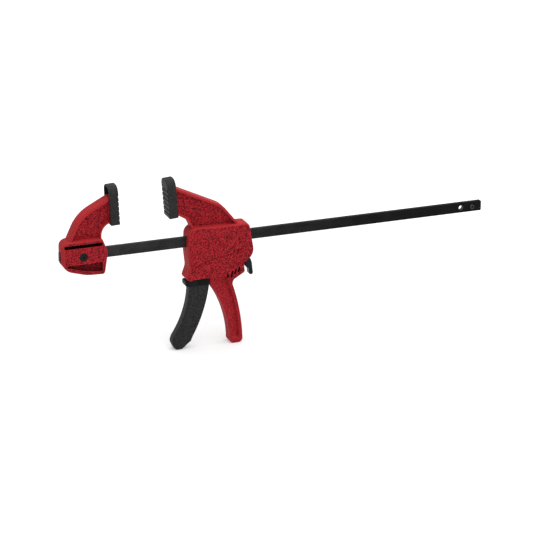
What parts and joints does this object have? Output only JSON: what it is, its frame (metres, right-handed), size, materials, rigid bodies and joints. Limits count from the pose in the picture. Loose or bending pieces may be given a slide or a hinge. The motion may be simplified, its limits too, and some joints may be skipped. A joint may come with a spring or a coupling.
{
  "type": "quick release bar clamp",
  "caption": "One-hand clamp: a flat steel bar with a fixed jaw, and a sliding head with a moving jaw, squeeze trigger, handle and release lever.",
  "frame": {"origin": "under the middle of the bar's length, in the mid-plane, on the surface that the trigger tip and the handle tip stand on", "axes": "+X along the bar from the fixed jaw to its free end, +Y through the thickness away from the plain side of the head, +Z from the grips up to the jaws"},
  "size_m": [0.5068, 0.022, 0.2045],
  "materials": {
    "red_plastic": "moulded nylon with a fine grain, satin",
    "pad_rubber": "moulded, matt",
    "grip_rubber": "moulded with a fine grain, matt",
    "black_plastic": "moulded, smooth",
    "bar_finish": "black oxide, oiled, semi-matt",
    "dark_steel": "black oxide, satin",
    "bright_steel": "bright zinc, satin"
  },
  "bodies": {
    "bar_assembly": {"bar": "bar_finish", "stop_pin": "bright_steel", "fixed_jaw": "red_plastic", "fixed_jaw_pad": "pad_rubber", "jaw_screw": "dark_steel", "jaw_nut": "bright_steel"},
    "head": {"moving_jaw_near": "red_plastic", "moving_jaw_far": "red_plastic", "moving_jaw_pad": "pad_rubber", "body_screws": "dark_steel", "handle_screws": "dark_steel", "trigger_pivot_pin": "bright_steel", "drive_spring": "bright_steel", "brake_spring": "bright_steel"},
    "trigger": {"trigger": "black_plastic", "trigger_grip": "grip_rubber"},
    "drive_plates": {"drive_plate_front": "bright_steel", "drive_plate_rear": "bright_steel"},
    "brake": {"brake_plate": "bright_steel", "release_lever": "black_plastic"}
  },
  "joints": [
    {"name": "jaw_slide", "type": "slide", "parent": "bar_assembly", "child": "head", "axis": [1, 0, 0], "range_m": [-0.0554, 0.27]},
    {"name": "trigger_squeeze", "type": "hinge", "parent": "head", "child": "trigger", "pos_m": [-0.0915, 0, 0.1027], "axis": [0, -1, 0], "range_deg": [0, 11], "stiffness_Nm_per_rad": 1, "springref_deg": -11.46},
    {"name": "drive_step", "type": "slide", "parent": "head", "child": "drive_plates", "axis": [1, 0, 0], "range_m": [0, 0.00195], "deforming": ["drive_spring"]},
    {"name": "release_press", "type": "hinge", "parent": "head", "child": "brake", "pos_m": [-0.0399, 0, 0.1167], "axis": [0, 1, 0], "range_deg": [0, 4], "stiffness_Nm_per_rad": 0.6, "springref_deg": -8.59, "deforming": ["brake_spring"]}
  ],
  "couplings": [
    {"joint": "drive_step", "follows": "trigger_squeeze", "m_per_rad": 0.0101}
  ]
}
